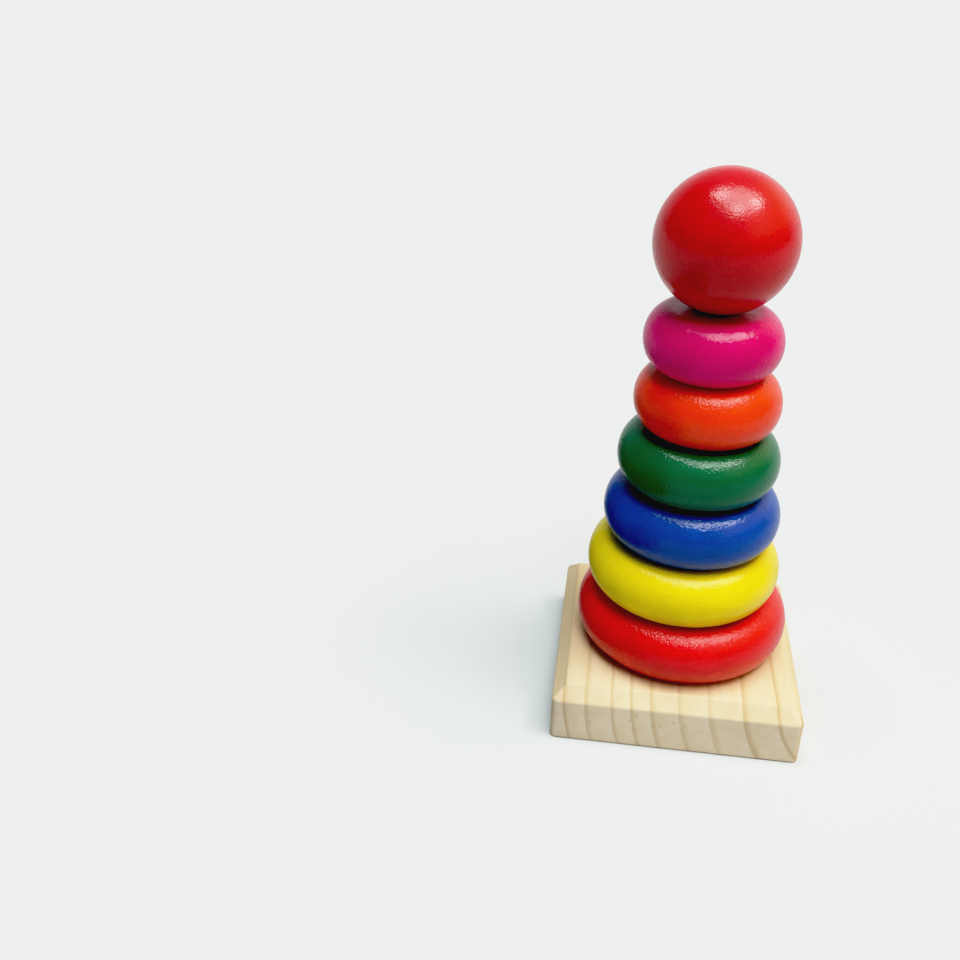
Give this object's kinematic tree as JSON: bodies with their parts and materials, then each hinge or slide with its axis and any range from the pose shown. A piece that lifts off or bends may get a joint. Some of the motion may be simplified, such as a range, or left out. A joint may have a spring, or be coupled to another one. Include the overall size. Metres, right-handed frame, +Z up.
{
  "type": "ring stacking tower",
  "caption": "Wooden stacking tower: painted rings that get smaller towards the top, on one peg in a square pine base, with a ball on the peg's end.",
  "frame": {"origin": "centre of the base's underside, on the peg's axis", "axes": "+Z up along the peg, -Y out of the base's front face, +X to the right seen from the front"},
  "size_m": [0.085, 0.085, 0.1897],
  "materials": {
    "pine": "planed and sanded, unpainted, matt",
    "dowel": "turned dowel, unpainted, matt",
    "red_paint": "gloss paint",
    "yellow_paint": "gloss paint",
    "blue_paint": "gloss paint",
    "green_paint": "gloss paint",
    "orange_paint": "gloss paint",
    "magenta_paint": "gloss paint",
    "ball_paint": "gloss paint"
  },
  "bodies": {
    "stand": {"base": "pine", "peg": "dowel"},
    "red": {"red_ring": "red_paint"},
    "yellow": {"yellow_ring": "yellow_paint"},
    "blue": {"blue_ring": "blue_paint"},
    "green": {"green_ring": "green_paint"},
    "orange": {"orange_ring": "orange_paint"},
    "magenta": {"magenta_ring": "magenta_paint"},
    "top_ball": {"ball": "ball_paint"}
  },
  "joints": [
    {"name": "red_lift", "type": "slide", "parent": "stand", "child": "red", "axis": [0, 0, 1], "range_m": [0, 0.15]},
    {"name": "yellow_lift", "type": "slide", "parent": "red", "child": "yellow", "axis": [0, 0, 1], "range_m": [0, 0.129]},
    {"name": "blue_lift", "type": "slide", "parent": "yellow", "child": "blue", "axis": [0, 0, 1], "range_m": [0, 0.108]},
    {"name": "green_lift", "type": "slide", "parent": "blue", "child": "green", "axis": [0, 0, 1], "range_m": [0, 0.0875]},
    {"name": "orange_lift", "type": "slide", "parent": "green", "child": "orange", "axis": [0, 0, 1], "range_m": [0, 0.0665]},
    {"name": "magenta_lift", "type": "slide", "parent": "orange", "child": "magenta", "axis": [0, 0, 1], "range_m": [0, 0.046]},
    {"name": "ball_lift", "type": "slide", "parent": "magenta", "child": "top_ball", "axis": [0, 0, 1], "range_m": [0, 0.025]}
  ]
}
